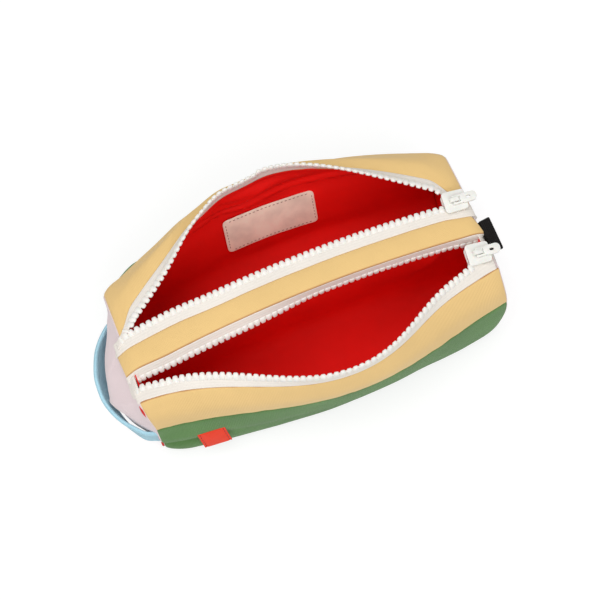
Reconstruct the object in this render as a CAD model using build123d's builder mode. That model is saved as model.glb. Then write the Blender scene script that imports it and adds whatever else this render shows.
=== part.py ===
from math import acos, asin, cos, degrees, hypot, pi, radians, sin, tan
import os

from build123d import *

# Driving dimensions of the case, in millimetres
HALF_LENGTH = 103.0
HEIGHT = 72.0
CLOTH = 1.2
LINING = 0.7
GAP = 0.3
TO_FRAME = (6.24, -3.92, 0.0)

# The middle strip and the rows beside it lie on arcs about one upright axis
ARC_X = 15.0
ARC_RADIUS = 800.0
STRIP_HALF_WIDTH = 6.0

# Green walls: how far out the base and the seams stand, at the ends and added at mid-length
SEAM_Z = 42.0
FRONT_BASE = (45.0, 13.0)
BACK_BASE = (44.0, 10.0)
FRONT_SEAM = (41.0, 20.5)
FRONT_CORNER = 8.0
BACK_CORNER = 15.0
BASE_REACH = 130.0
SEAM_REACH = 128.0

# Tan bands: where their zip edges run
FRONT_EDGE = (31.0, 27.5)
FRONT_EDGE_Z = 70.0
EDGE_REACH = 112.0
BACK_EDGE_PEAK = 64.5
BACK_EDGE_DROP = 50.5
BACK_EDGE_Z = 70.5
BACK_SHOULDER_PEAK = 70.0
BACK_SHOULDER_DROP = 32.0
BULGE_X = 8.0

# Zips
TAPE = 1.2
TAPE_SHOWN = 4.0
TOOTH_LENGTH = 4.2
TOOTH_WIDTH = 2.2
TOOTH_THICK = 2.6
TOOTH_PITCH = 3.6
BACK_ROW_Z = 71.0
FRONT_ROW_DROOP = 84.0
ROW_ENDS = (-97.0, 97.0)
FRONT_OUTER_ENDS = (-97.0, 90.0)
BACK_OUTER_ENDS = (-92.0, 90.0)

# Sliders and pullers
RUN_RADIUS = 800.0
FRONT_RUN = (11.0, -16.5, 69.3)
BACK_RUN = (15.0, 15.5, 71.0)
SLIDER_X = 96.0
SLIDER_LENGTH = 13.0
SLIDER_NOSE = 12.4
SLIDER_TAIL = 11.6
SLIDER_ROOM = 1.9
SLIDER_PLATE = 1.3
FLANGE = 0.5
RIM_LENGTH = 8.5
POST = (1.9, 0.6)
BRIDGE_X = (-2.6, 3.4)
BRIDGE_WIDTH = 2.4
BRIDGE_RISE = 2.6
BRIDGE_THICK = 1.0
BRIDGE_CORNER = 0.9
PIN_X = 0.9
PIN_Z = 4.1
PIN_RADIUS = 0.6
PULLER_LENGTH = 9.5
PULLER_WIDTH = 5.6
PULLER_THICK = 1.5
PULLER_ARM = 1.1
PULLER_CLEAR = 4.4
PULLER_LAP = 0.8
PULLER_CORNER = 2.4
PULLER_EYE = (2.6, 1.6)

# Handle strap at the left end, an arc of webbing seen from above
STRAP_CENTRE = (-75.1, -4.5)
STRAP_RADIUS = 48.4
STRAP_WIDTH = 15.0
STRAP_THICK = 1.6
STRAP_FLARE = 15.0
STRAP_Z = 26.5
STRAP_PIVOT_X = -110.4
STRAP_SEAM_X = -109.4
STRAP_SWING = (25.0, 35.0)

# End panels
END_BULGE_LEFT = 8.0
END_BULGE_RIGHT = 4.0
PIPING = 1.0

STATIONS = [HALF_LENGTH * k / 4 for k in range(-4, 5)]


def swell(x, reach, centre=BULGE_X):
    """One at the centre and nought at the reach, level at both."""
    u = abs(x - centre) / reach
    return cos(pi / 2 * u) ** 2 if u < 1 else 0.0


def spread(x, centre, half, power):
    """Nought at the centre and one at the half length."""
    return (abs(x - centre) / half) ** power


def strip_bow(x):
    """How far the middle strip's arc has fallen back at x."""
    return (x - ARC_X) ** 2 / (2 * ARC_RADIUS)


def front_base(x):
    return -(FRONT_BASE[0] + FRONT_BASE[1] * swell(x, BASE_REACH))


def back_base(x):
    return BACK_BASE[0] + BACK_BASE[1] * swell(x, BASE_REACH)


def front_seam(x):
    return (-(FRONT_SEAM[0] + FRONT_SEAM[1] * swell(x, SEAM_REACH, 14.0)), SEAM_Z)


def front_edge(x):
    return (-(FRONT_EDGE[0] + FRONT_EDGE[1] * swell(x, EDGE_REACH)), FRONT_EDGE_Z)


def back_edge(x):
    return (BACK_EDGE_PEAK - BACK_EDGE_DROP * spread(x, 4.0, 104.0, 1.65), BACK_EDGE_Z)


def back_shoulder(x):
    y = BACK_SHOULDER_PEAK - BACK_SHOULDER_DROP * spread(x, BULGE_X, 108.0, 1.8)
    return (y, 60.0 + 2.0 * spread(x, 0, HALF_LENGTH, 2))


def back_seam(x):
    return (back_shoulder(x)[0] + 0.5, 46.0 + 8.0 * spread(x, 0, HALF_LENGTH, 2))


def front_tilt(x):
    return -12.0 + 97.0 * swell(x, 105.0) ** 0.6


def back_tilt(x):
    return 20.0 + 80.0 * swell(x, 110.0, 0.0) ** 0.6


def unit(a, b):
    length = hypot(b[0] - a[0], b[1] - a[1])
    return ((b[0] - a[0]) / length, (b[1] - a[1]) / length)


def side_normals(points, outward):
    """Outward normal of each run between points.

    outward is +1 where the outside is on the left of the run, -1 on the right.
    """
    runs = [unit(a, b) for a, b in zip(points, points[1:])]
    return [(-u[1] * outward, u[0] * outward) for u in runs]


def inset(points, outward, distance, ends=(None, None)):
    """The run moved inwards, corner by corner; ends may give its end directions."""
    normals = side_normals(points, outward)
    moves = [ends[0] or normals[0]]
    for m, n in zip(normals, normals[1:]):
        share = 1 + m[0] * n[0] + m[1] * n[1]
        moves.append(((m[0] + n[0]) / share, (m[1] + n[1]) / share))
    moves.append(ends[1] or normals[-1])
    return [(p[0] - m[0] * distance, p[1] - m[1] * distance) for p, m in zip(points, moves)]


def ribbon(x, points, bulges, thickness, outward, ends=(None, None)):
    """Closed cross-section at x: arcs through points, thickness laid inwards."""
    normals = side_normals(points, outward)
    inner = inset(points, outward, thickness, ends)
    with BuildSketch(Plane.YZ.offset(x)) as section:
        with BuildLine():
            for side in (points, inner):
                for a, b, n, bulge in zip(side, side[1:], normals, bulges):
                    if bulge:
                        middle = ((a[0] + b[0]) / 2 + n[0] * bulge, (a[1] + b[1]) / 2 + n[1] * bulge)
                        ThreePointArc(a, middle, b)
                    else:
                        Line(a, b)
            Line(points[0], inner[0])
            Line(points[-1], inner[-1])
        make_face()
    return section.sketch


def export(piece, name):
    """Written with the middle of the whole case's box, at its bottom, as the origin."""
    placed = piece.part.moved(Location(TO_FRAME))
    placed.label = name
    export_step(placed, f"parts/{name}.step")


def shell(name, profile, bulges, thickness, outward, ends=(None, None), stations=STATIONS):
    """A lofted sheet whose cross-section at x runs through profile(x)."""
    sections = [ribbon(x, profile(x), bulges, thickness, outward, ends) for x in stations]
    with BuildPart() as piece:
        loft(sections)
    export(piece, name)


os.makedirs("parts", exist_ok=True)
CORNER_SAG = 1 - cos(pi / 4)


# Green canvas: base and walls
def front_wall_line(x):
    base = front_base(x)
    return [(base + FRONT_CORNER, 0), (base, FRONT_CORNER), (front_seam(x)[0], SEAM_Z - GAP / 2)]


def back_wall_line(x):
    base, seam = back_base(x), back_seam(x)
    return [(base - BACK_CORNER, 0), (base, BACK_CORNER), (seam[0], seam[1] - GAP / 2)]


def base_line(x):
    return [(front_base(x) + FRONT_CORNER + GAP, 0), (back_base(x) - BACK_CORNER - GAP, 0)]


DOWN, FRONTWARD, BACKWARD = (0, -1), (-1, 0), (1, 0)
FRONT_SAG = FRONT_CORNER * CORNER_SAG
BACK_SAG = BACK_CORNER * CORNER_SAG
WALL_BULGE = 1.0
shell("front_wall", front_wall_line, (FRONT_SAG, WALL_BULGE), CLOTH, 1, (DOWN, FRONTWARD))
shell("back_wall", back_wall_line, (BACK_SAG, WALL_BULGE), CLOTH, -1, (DOWN, BACKWARD))

# The base is flat, so its underside is one plane
with BuildPart() as base_panel:
    with BuildSketch(Plane.XY) as outline:
        with BuildLine():
            front_side = Spline([(x, base_line(x)[0][0]) for x in STATIONS])
            back_side = Spline([(x, base_line(x)[1][0]) for x in STATIONS])
            Line(front_side @ 0, back_side @ 0)
            Line(front_side @ 1, back_side @ 1)
        make_face()
    extrude(amount=CLOTH)
export(base_panel, "base_panel")


# Tan bands over the top
def front_band_line(x):
    seam = front_seam(x)
    return [(seam[0], seam[1] + GAP / 2), front_edge(x)]


def back_band_line(x):
    seam = back_seam(x)
    return [(seam[0], seam[1] + GAP / 2), back_shoulder(x), back_edge(x)]


BAND_BULGE = 3.0
SHOULDER_BULGE = 0.8
shell("front_band", front_band_line, (BAND_BULGE,), CLOTH, 1, (FRONTWARD, None))
shell("back_band", back_band_line, (SHOULDER_BULGE, BAND_BULGE), CLOTH, -1, (BACKWARD, None))


# Middle strip, and the pieces that follow its arc
ARC_AXIS = Axis((ARC_X, -ARC_RADIUS, 0), (0, 0, 1))


def turn_at(x, radius=ARC_RADIUS, centre=ARC_X):
    """Turn about an arc's axis that brings its crest to x."""
    return degrees(asin((centre - x) / radius))


def radial(turn, centre=ARC_X, crest=0.0, radius=ARC_RADIUS):
    """Plane through the arc's axis: x outwards from the crest, y up."""
    a = radians(turn)
    out = Vector(-sin(a), cos(a), 0)
    origin = Vector(centre, crest - radius, 0) + out * radius
    return Plane(origin=origin, x_dir=out, z_dir=(cos(a), sin(a), 0))


def arc_sheet(name, outline, ends):
    """A sheet of the given outline, carried along the strip's arc between two x."""
    start, stop = turn_at(ends[1]), turn_at(ends[0])
    with BuildPart() as piece:
        with BuildSketch(radial(start)):
            Polygon(*outline, align=None)
        revolve(axis=ARC_AXIS, revolution_arc=stop - start)
    export(piece, name)


def slab(start, tilt, length, thickness):
    """Corners of a thin rectangle that leaves start at the tilt."""
    a = radians(tilt)
    along, across = (cos(a), sin(a)), (-sin(a) * thickness / 2, cos(a) * thickness / 2)
    end = (start[0] + along[0] * length, start[1] + along[1] * length)
    return [
        (start[0] - across[0], start[1] - across[1]),
        (end[0] - across[0], end[1] - across[1]),
        (end[0] + across[0], end[1] + across[1]),
        (start[0] + across[0], start[1] + across[1]),
    ]


FULL = (-HALF_LENGTH + 0.8, HALF_LENGTH - 0.8)
STRIP_LOW = HEIGHT - CLOTH
arc_sheet("middle_strip", slab((-STRIP_HALF_WIDTH, HEIGHT - CLOTH / 2), 0, 2 * STRIP_HALF_WIDTH, CLOTH), FULL)
DIVIDER = 1.0
DIVIDER_LOW = CLOTH + LINING + 3 * GAP
arc_sheet(
    "divider",
    slab((0, DIVIDER_LOW), 90, STRIP_LOW - GAP - DIVIDER_LOW, DIVIDER),
    (-HALF_LENGTH + 3, HALF_LENGTH - 3),
)

# Rows sewn to the strip: the back one lies flat, the front one hangs down
BACK_TAPE_START = (STRIP_HALF_WIDTH + GAP, BACK_ROW_Z)
FRONT_TAPE_START = (-STRIP_HALF_WIDTH - GAP, STRIP_LOW - GAP)
FRONT_HANG = -180 + FRONT_ROW_DROOP
arc_sheet("back_inner_tape", slab(BACK_TAPE_START, 0, TAPE_SHOWN, TAPE), ROW_ENDS)
arc_sheet("front_inner_tape", slab(FRONT_TAPE_START, FRONT_HANG, TAPE_SHOWN, TAPE), ROW_ENDS)


def row_place(turn, start, tilt):
    """A tooth's place beside the strip at the turn."""
    reach = TAPE_SHOWN + 0.1 + TOOTH_LENGTH / 2
    a = radians(tilt)
    spot = (start[0] + reach * cos(a), start[1] + reach * sin(a), 0)
    return radial(turn).location * Location(spot, (0, 0, tilt))


def tooth_places(start, tilt):
    """Equal steps along a row beside the strip, between its end stops."""
    step = degrees(TOOTH_PITCH / ARC_RADIUS)
    low, high = turn_at(ROW_ENDS[1] - TOOTH_PITCH), turn_at(ROW_ENDS[0] + TOOTH_PITCH)
    for k in range(int((high - low) / step) + 1):
        yield row_place(low + k * step, start, tilt)


def teeth(name, places):
    with BuildPart() as piece:
        with Locations(*places):
            Box(TOOTH_LENGTH, TOOTH_THICK, TOOTH_WIDTH)
    export(piece, name)


teeth("back_inner_teeth", tooth_places(BACK_TAPE_START, 0))
teeth("front_inner_teeth", tooth_places(FRONT_TAPE_START, FRONT_HANG))


# Rows sewn to the bands, which gape with the compartments
ROW_CLEAR = 1.6
TOOTH_CLEAR = 0.6
STOP_IN = 1.2


def row_start(below, edge):
    """Just past the band's edge, in line with the band."""
    u = unit(below, edge)
    return (edge[0] + u[0] * ROW_CLEAR, edge[1] + u[1] * ROW_CLEAR)


def front_row(x):
    return row_start(front_seam(x), front_edge(x)), front_tilt(x)


def back_row(x):
    return row_start(back_shoulder(x), back_edge(x)), 180 - back_tilt(x)


def outer_tape(name, row, ends):
    count = 16
    stations = [ends[0] + (ends[1] - ends[0]) * k / count for k in range(count + 1)]
    with BuildPart() as piece:
        for x in stations:
            start, tilt = row(x)
            with BuildSketch(Plane.YZ.offset(x)):
                Polygon(*slab(start, tilt, TAPE_SHOWN, TAPE), align=None)
        loft()
    export(piece, name)


def outer_middle(row, x):
    """The middle of a tooth of the outer row at x."""
    start, tilt = row(x)
    reach, a = TAPE_SHOWN + TOOTH_CLEAR + TOOTH_LENGTH / 2, radians(tilt)
    return Vector(x, start[0] + reach * cos(a), start[1] + reach * sin(a))


def outer_plane(row, x):
    """The tooth's plane there: x across the row, z along it."""
    here = outer_middle(row, x)
    run = (outer_middle(row, x + TOOTH_PITCH / 10) - here).normalized()
    a = radians(row(x)[1])
    out = Vector(0, cos(a), sin(a))
    return Plane(origin=here, x_dir=(out - run * out.dot(run)).normalized(), z_dir=run)


def outer_places(row, ends):
    """Equal steps along the outer row, between its end stops."""
    x = ends[0] + TOOTH_PITCH
    while x < ends[1] - TOOTH_PITCH:
        plane = outer_plane(row, x)
        yield plane.location
        x += TOOTH_PITCH * plane.z_dir.X


outer_tape("front_outer_tape", front_row, FRONT_OUTER_ENDS)
outer_tape("back_outer_tape", back_row, BACK_OUTER_ENDS)
teeth("front_outer_teeth", outer_places(front_row, FRONT_OUTER_ENDS))
teeth("back_outer_teeth", outer_places(back_row, BACK_OUTER_ENDS))

stop_places = [
    row_place(turn_at(x), start, tilt)
    for start, tilt in ((BACK_TAPE_START, 0), (FRONT_TAPE_START, FRONT_HANG))
    for x in (ROW_ENDS[0] + STOP_IN, ROW_ENDS[1] - STOP_IN)
] + [
    outer_plane(row, x).location
    for row, ends in ((front_row, FRONT_OUTER_ENDS), (back_row, BACK_OUTER_ENDS))
    for x in (ends[0] + STOP_IN, ends[1] - STOP_IN)
]
teeth("end_stops", stop_places)


# Red lining, laid inside the walls and bands
LINING_IN = CLOTH + 2 * GAP
LINING_TRIM = 3.0


def trimmed(below, edge):
    u = unit(below, edge)
    return (edge[0] - u[0] * LINING_TRIM, edge[1] - u[1] * LINING_TRIM)


def front_lining_line(x):
    foot = (front_base(x) + FRONT_CORNER + LINING_IN, LINING_IN)
    run = [(front_base(x), FRONT_CORNER + LINING_IN), front_seam(x), trimmed(front_seam(x), front_edge(x))]
    return [foot] + inset(run, 1, LINING_IN)


def back_lining_line(x):
    foot = (back_base(x) - BACK_CORNER - LINING_IN, LINING_IN)
    top = trimmed(back_shoulder(x), back_edge(x))
    run = [(back_base(x), BACK_CORNER + LINING_IN), back_seam(x), back_shoulder(x), top]
    return [foot] + inset(run, -1, LINING_IN)


def base_lining_line(x):
    return [(front_lining_line(x)[0][0] + GAP, LINING_IN), (back_lining_line(x)[0][0] - GAP, LINING_IN)]


INNER_STATIONS = [x * (HALF_LENGTH - 2.5) / HALF_LENGTH for x in STATIONS]
BAND_SAG = BAND_BULGE * 0.6
FRONT_BULGES = (FRONT_SAG, WALL_BULGE, BAND_SAG)
BACK_BULGES = (BACK_SAG, WALL_BULGE, SHOULDER_BULGE, BAND_SAG)
shell("front_lining", front_lining_line, FRONT_BULGES, LINING, 1, (DOWN, None), INNER_STATIONS)
shell("back_lining", back_lining_line, BACK_BULGES, LINING, -1, (DOWN, None), INNER_STATIONS)
shell("base_lining", base_lining_line, (0,), LINING, -1, stations=INNER_STATIONS)


# End panels: a dished plate inside a rim of piping, and a lining within
def end_outline(x, distance=0.0):
    """The case's outline at x, moved in by the distance: front, over the top, back."""
    front = inset(front_wall_line(x)[:2] + [front_seam(x), front_edge(x)], 1, distance, (DOWN, None))
    back = inset(
        back_wall_line(x)[:2] + [back_seam(x), back_shoulder(x), back_edge(x)], -1, distance, (DOWN, None)
    )
    bow = strip_bow(x)
    strip = [(side * STRIP_HALF_WIDTH - bow, HEIGHT - distance) for side in (-1, 1)]
    return front, strip, back


def end_face(x, distance=0.0):
    """Closed outline at x as a sketch."""
    front, strip, back = end_outline(x, distance)
    with BuildSketch(Plane.YZ.offset(x)) as face:
        with BuildLine():
            for run, outward, bulges in (
                (front, 1, (FRONT_SAG, WALL_BULGE, BAND_BULGE)),
                (back, -1, (BACK_SAG, WALL_BULGE, SHOULDER_BULGE, BAND_BULGE)),
            ):
                for a, b, n, bulge in zip(run, run[1:], side_normals(run, outward), bulges):
                    ThreePointArc(a, ((a[0] + b[0]) / 2 + n[0] * bulge, (a[1] + b[1]) / 2 + n[1] * bulge), b)
            Polyline(front[-1], strip[0], strip[1], back[-1])
            Line(front[0], back[0])
        make_face()
    return face.sketch


END_MIDDLE = (0.0, 34.0)
DISH = ((0.0, 0.985), (0.16, 0.82), (0.6, 0.55), (1.0, 0.22))
DISH_RIM = 0.03
DISH_LAP = 0.4


def dish(x, bulge, rim=0.0):
    """Sections of a low cap within the end outline's rim, standing out by the bulge."""
    out = 1 if x > 0 else -1
    flat = end_face(x).moved(Location((-x, -END_MIDDLE[0], -END_MIDDLE[1])))
    sections = []
    for rise, share in DISH:
        spot = Location((x + out * bulge * rise, *END_MIDDLE))
        size = share - rim
        sections.append(scale(flat, by=(1, size, size), mode=Mode.PRIVATE).moved(spot))
    return sections


def end_panel(name, x, bulge):
    out = 1 if x > 0 else -1
    with BuildPart() as piece:
        extrude(end_face(x), amount=out * CLOTH)
        loft(dish(x + out * (CLOTH - DISH_LAP), bulge), ruled=True)
        loft(dish(x - out * DISH_LAP, bulge, DISH_RIM), ruled=True, mode=Mode.SUBTRACT)
    export(piece, name)


END_X = HALF_LENGTH + GAP
end_panel("left_end_panel", -END_X, END_BULGE_LEFT)
end_panel("right_end_panel", END_X, END_BULGE_RIGHT)


def piping(name, x):
    """A cord of cloth round the outside of the end seam."""
    out = 1 if x > 0 else -1
    with BuildPart() as piece:
        extrude(end_face(x, -GAP / 2 - PIPING), amount=out * CLOTH)
        extrude(end_face(x, -GAP / 2), amount=out * CLOTH, mode=Mode.SUBTRACT)
        with Locations((x, 0, 0)):
            Box(4 * CLOTH, 4 * HEIGHT, 3 * PIPING, mode=Mode.SUBTRACT)
    export(piece, name)


def end_lining(name, x):
    """Flat inner end, cut away where the sliders come to rest."""
    inner = CLOTH + LINING + 4 * GAP
    with BuildPart() as piece:
        extrude(end_face(x, inner), amount=LINING)
        low = FRONT_RUN[2] - SLIDER_ROOM - SLIDER_PLATE - 1
        with Locations((x, 0, low)):
            Box(4, 4 * HEIGHT, HEIGHT, align=(Align.CENTER, Align.CENTER, Align.MIN), mode=Mode.SUBTRACT)
    export(piece, name)


piping("left_piping", -END_X)
piping("right_piping", END_X)
END_LINING_X = HALF_LENGTH - 1.5
end_lining("left_end_lining", -END_LINING_X - LINING)
end_lining("right_end_lining", END_LINING_X)


# Handle strap: a flared arc of webbing across the left end, and its sewn ends
STRAP_AXIS = Axis((STRAP_CENTRE[0], STRAP_CENTRE[1], 0), (0, 0, 1))


def strap_turn(x):
    """Turn from the strap's middle at which its centre line has come in to x."""
    return 180 - degrees(acos((x - STRAP_CENTRE[0]) / STRAP_RADIUS))


def strap_arc(name, spans, waste):
    """Webbing between pairs of turns from straight out, less the side view's waste."""
    low = slab((0, 0), 90 + STRAP_FLARE, STRAP_WIDTH, STRAP_THICK)
    lean = sin(radians(STRAP_FLARE)) * STRAP_WIDTH / 2
    rise = cos(radians(STRAP_FLARE)) * STRAP_WIDTH / 2
    with BuildPart() as piece:
        for start, stop in spans:
            a = radians(180 + start)
            out = Vector(cos(a), sin(a), 0)
            plane = Plane(
                origin=Vector(*STRAP_CENTRE, STRAP_Z) + out * STRAP_RADIUS, x_dir=out, z_dir=(sin(a), -cos(a), 0)
            )
            with BuildSketch(plane):
                Polygon(*[(-y - lean, z - rise) for y, z in low], align=None)
            revolve(axis=STRAP_AXIS, revolution_arc=stop - start)
        with BuildSketch(Plane.XZ):
            Polygon(*waste, align=None)
        extrude(amount=2 * STRAP_RADIUS, both=True, mode=Mode.SUBTRACT)
    export(piece, name)


# The loop turns on its sewn ends, so its own ends lean back by the swing down and up
SEAM_TURN = strap_turn(STRAP_SEAM_X)
SEWN_TURN = strap_turn(STRAP_PIVOT_X - 2 * GAP)
down, up = (tan(radians(angle)) * STRAP_WIDTH for angle in STRAP_SWING)
low, high = STRAP_Z - STRAP_WIDTH, STRAP_Z + STRAP_WIDTH
loop_x, sewn_x = STRAP_PIVOT_X - GAP, STRAP_PIVOT_X + GAP
strap_arc(
    "handle_strap",
    [(-SEAM_TURN, SEAM_TURN)],
    [(loop_x, STRAP_Z), (loop_x - down, low), (0, low), (0, high), (loop_x - up, high)],
)
strap_arc(
    "strap_ends",
    [(-SEAM_TURN, -SEWN_TURN + 3), (SEWN_TURN - 3, SEAM_TURN)],
    [(sewn_x, low), (sewn_x, high), (2 * sewn_x, high), (2 * sewn_x, low)],
)


# Small sewn pieces: black end tab, red side tag and leather name patch
TAB_WIDTH = 18.0
TAB_REACH = 7.5
TAB_THICK = 2.4
TAB_PLACE = (END_X + 3.3, -12.0, 66.0)
TAB_DROOP = 20.0
droop = radians(TAB_DROOP)
with BuildPart(Plane(origin=TAB_PLACE, x_dir=(cos(droop), 0, -sin(droop)), z_dir=(sin(droop), 0, cos(droop)))) as end_tab:
    Box(TAB_REACH, TAB_WIDTH, TAB_THICK, align=(Align.MIN, Align.CENTER, Align.CENTER))
    fillet(end_tab.edges().group_by(Axis.X)[-1].filter_by(Axis.Y), TAB_THICK / 2 - 0.05)
export(end_tab, "end_tab")

TAG_X = -73.0
TAG_SIZE = (16.0, 16.0, 1.0)
TAG_HALF = TAG_SIZE[0] / 2
TAG_Z = 22.0


def wall_point(x, z):
    """A point on the front wall's outer face."""
    base, seam = front_base(x), front_seam(x)[0]
    share = (z - FRONT_CORNER) / (SEAM_Z - FRONT_CORNER)
    return Vector(x, base + (seam - base) * share - 4 * WALL_BULGE * share * (1 - share), z)


tag_run = (wall_point(TAG_X + TAG_HALF, TAG_Z) - wall_point(TAG_X - TAG_HALF, TAG_Z)).normalized()
tag_rise = (wall_point(TAG_X, TAG_Z + TAG_HALF) - wall_point(TAG_X, TAG_Z - TAG_HALF)).normalized()
tag_out = tag_run.cross(tag_rise).normalized()
with BuildPart(Plane(origin=wall_point(TAG_X, TAG_Z) + tag_out * 2 * GAP, x_dir=tag_run, z_dir=tag_out)) as side_tag:
    Box(*TAG_SIZE, align=(Align.CENTER, Align.CENTER, Align.MIN))
export(side_tag, "side_tag")

PATCH_SIZE = (56.0, 20.0, 0.9)
PATCH_X = 2.0
PATCH_Z = 28.0
foot, top = back_lining_line(PATCH_X)[1:3]
patch_rise = Vector(0, *unit(foot, top))
patch_out = Vector(0, -patch_rise.Z, patch_rise.Y)
share = (PATCH_Z - foot[1]) / (top[1] - foot[1])
patch_spot = Vector(PATCH_X, foot[0] + (top[0] - foot[0]) * share, PATCH_Z) + patch_out * (LINING + 6 * GAP)
with BuildPart(Plane(origin=patch_spot, x_dir=(1, 0, 0), z_dir=patch_out)) as name_patch:
    Box(*PATCH_SIZE, align=(Align.CENTER, Align.CENTER, Align.MIN))
    fillet(name_patch.edges().filter_by(lambda e: abs(e.length - PATCH_SIZE[2]) < 0.01), 3.0)
export(name_patch, "name_patch")


# Sliders: two plates joined by a post, rims beside the teeth and a bridge for the puller
def slider_plane(run):
    """Local frame at rest: x towards the left end, z up, y outwards from the strip's row."""
    centre, crest, z = run
    turn = radians(turn_at(SLIDER_X, RUN_RADIUS, centre))
    out = Vector(-sin(turn), cos(turn), 0)
    spot = Vector(centre, crest - RUN_RADIUS, z) + out * RUN_RADIUS
    return Plane(origin=spot, x_dir=Vector(-cos(turn), -sin(turn), 0), z_dir=(0, 0, 1))


PLATE_Z = SLIDER_ROOM + SLIDER_PLATE


def slider(name, run):
    nose, tail = SLIDER_LENGTH / 2, -SLIDER_LENGTH / 2
    wide, narrow = SLIDER_NOSE / 2, SLIDER_TAIL / 2
    rim = SLIDER_ROOM - TAPE / 2 - GAP
    frame = slider_plane(run)
    upright = Plane(origin=frame.origin, x_dir=frame.x_dir, z_dir=-frame.y_dir)
    with BuildPart() as piece:
        for low in (-PLATE_Z, SLIDER_ROOM):
            with BuildSketch(frame.offset(low)):
                Polygon((nose, -wide), (nose, wide), (tail, narrow), (tail, -narrow), align=None)
                fillet(vertices(), 1.8)
            extrude(amount=SLIDER_PLATE)
        with BuildSketch(frame.offset(-SLIDER_ROOM)):
            with Locations((nose - POST[0] - GAP, 0)):
                Ellipse(*POST)
        extrude(amount=2 * SLIDER_ROOM)
        for low in (-SLIDER_ROOM, SLIDER_ROOM - rim):
            with BuildSketch(frame.offset(low)):
                with Locations((0, narrow - FLANGE / 2), (0, FLANGE / 2 - narrow)):
                    Rectangle(RIM_LENGTH, FLANGE)
            extrude(amount=rim)
        with BuildSketch(upright):
            with BuildLine():
                a, b = BRIDGE_X
                top, t, c = PLATE_Z + BRIDGE_RISE, BRIDGE_THICK, BRIDGE_CORNER
                foot = (a + t, PLATE_Z)
                Polyline((b, PLATE_Z), (b, top - c), (b - c, top), (a + c, top), (a, top - c), (a, PLATE_Z), foot)
                Polyline(foot, (a + t, top - t), (b - t, top - t), (b - t, PLATE_Z), (b, PLATE_Z))
            make_face()
        extrude(amount=BRIDGE_WIDTH / 2, both=True)
    export(piece, name)


def puller(name, run):
    """A pin through the bridge, two arms and a rounded moulded tab with an eye."""
    tab_from = PIN_X - PULLER_CLEAR
    arm_y = BRIDGE_WIDTH / 2 + GAP + PULLER_ARM / 2
    arm_from = PIN_X + PIN_RADIUS
    frame = slider_plane(run)
    with BuildPart(frame) as piece:
        with Locations(Location((PIN_X, 0, PIN_Z), (90, 0, 0))):
            Cylinder(PIN_RADIUS, 2 * arm_y + PULLER_ARM)
        with Locations(*[((arm_from + tab_from) / 2, edge * arm_y, PIN_Z) for edge in (-1, 1)]):
            Box(arm_from - tab_from, PULLER_ARM, 2 * PIN_RADIUS)
        with BuildSketch(frame.offset(PIN_Z - PULLER_THICK / 2)):
            with Locations((tab_from - PULLER_LENGTH / 2 + PULLER_LAP, 0)):
                RectangleRounded(PULLER_LENGTH, PULLER_WIDTH, PULLER_CORNER)
            with Locations((tab_from - PULLER_LENGTH + PULLER_WIDTH, 0)):
                SlotOverall(*PULLER_EYE, mode=Mode.SUBTRACT)
        extrude(amount=PULLER_THICK)
    export(piece, name)


slider("front_slider", FRONT_RUN)
slider("back_slider", BACK_RUN)
puller("front_puller", FRONT_RUN)
puller("back_puller", BACK_RUN)
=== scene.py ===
"""A soft two-compartment pencil case, zips open, as a set of modelling operators.

The panels' shapes are worked out in millimetres about the case's own middle; point() turns
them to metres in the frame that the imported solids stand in.
"""
from math import cos, exp, hypot, pi, radians, sin, sqrt

import bmesh
import bpy
from bpy.props import FloatProperty, FloatVectorProperty, PointerProperty
from mathutils import Matrix, Vector, noise


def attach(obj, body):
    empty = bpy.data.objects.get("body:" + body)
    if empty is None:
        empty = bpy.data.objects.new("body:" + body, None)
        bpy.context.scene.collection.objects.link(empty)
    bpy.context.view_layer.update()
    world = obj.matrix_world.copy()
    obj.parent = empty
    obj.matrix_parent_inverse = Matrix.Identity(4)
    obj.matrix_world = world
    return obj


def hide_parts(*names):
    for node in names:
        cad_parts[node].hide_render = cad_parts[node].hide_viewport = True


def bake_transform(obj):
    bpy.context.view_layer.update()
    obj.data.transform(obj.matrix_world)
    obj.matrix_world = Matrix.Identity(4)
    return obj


bl_info = {
    "name": "Two-compartment pencil case",
    "version": (1, 0, 0),
    "blender": (4, 5, 0),
    "location": "3D View > Sidebar > Pencil case",
    "description": "Builds the cloth, zips and trim of a soft pencil case around its packed frame",
    "category": "Object",
}

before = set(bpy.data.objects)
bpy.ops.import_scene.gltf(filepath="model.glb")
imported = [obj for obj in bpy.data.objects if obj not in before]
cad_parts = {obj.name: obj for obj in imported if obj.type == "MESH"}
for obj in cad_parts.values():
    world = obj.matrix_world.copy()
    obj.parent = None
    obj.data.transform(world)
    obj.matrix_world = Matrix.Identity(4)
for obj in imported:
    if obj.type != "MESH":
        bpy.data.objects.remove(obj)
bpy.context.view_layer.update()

MM = 0.001
# Where the case's own middle stands in the frame, in millimetres
MIDDLE = (6.24, -3.92)


# Colours and places
def linear(code):
    """An sRGB hex colour as linear red, green and blue."""
    parts = [int(code[i : i + 2], 16) / 255 for i in (1, 3, 5)]
    return tuple(c / 12.92 if c <= 0.04045 else ((c + 0.055) / 1.055) ** 2.4 for c in parts)


def point(x, y, z):
    """A place in millimetres about the case's middle, in the frame's metres."""
    return Vector((x + MIDDLE[0], y + MIDDLE[1], z)) * MM


def swell(x, reach, centre=8.0):
    """One at the centre and nought at the reach, level at both."""
    u = abs(x - centre) / reach
    return cos(pi / 2 * u) ** 2 if u < 1 else 0.0


def spread(x, centre, half, power):
    """Nought at the centre and one at the half length."""
    return (abs(x - centre) / half) ** power


def ramp(x, start, stop):
    """Nought before start, one after stop, smooth between."""
    t = min(max((x - start) / (stop - start), 0.0), 1.0)
    return t * t * (3 - 2 * t)


def hump(x, centre, width):
    """A smooth bump of height one."""
    return exp(-(((x - centre) / width) ** 2))


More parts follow.
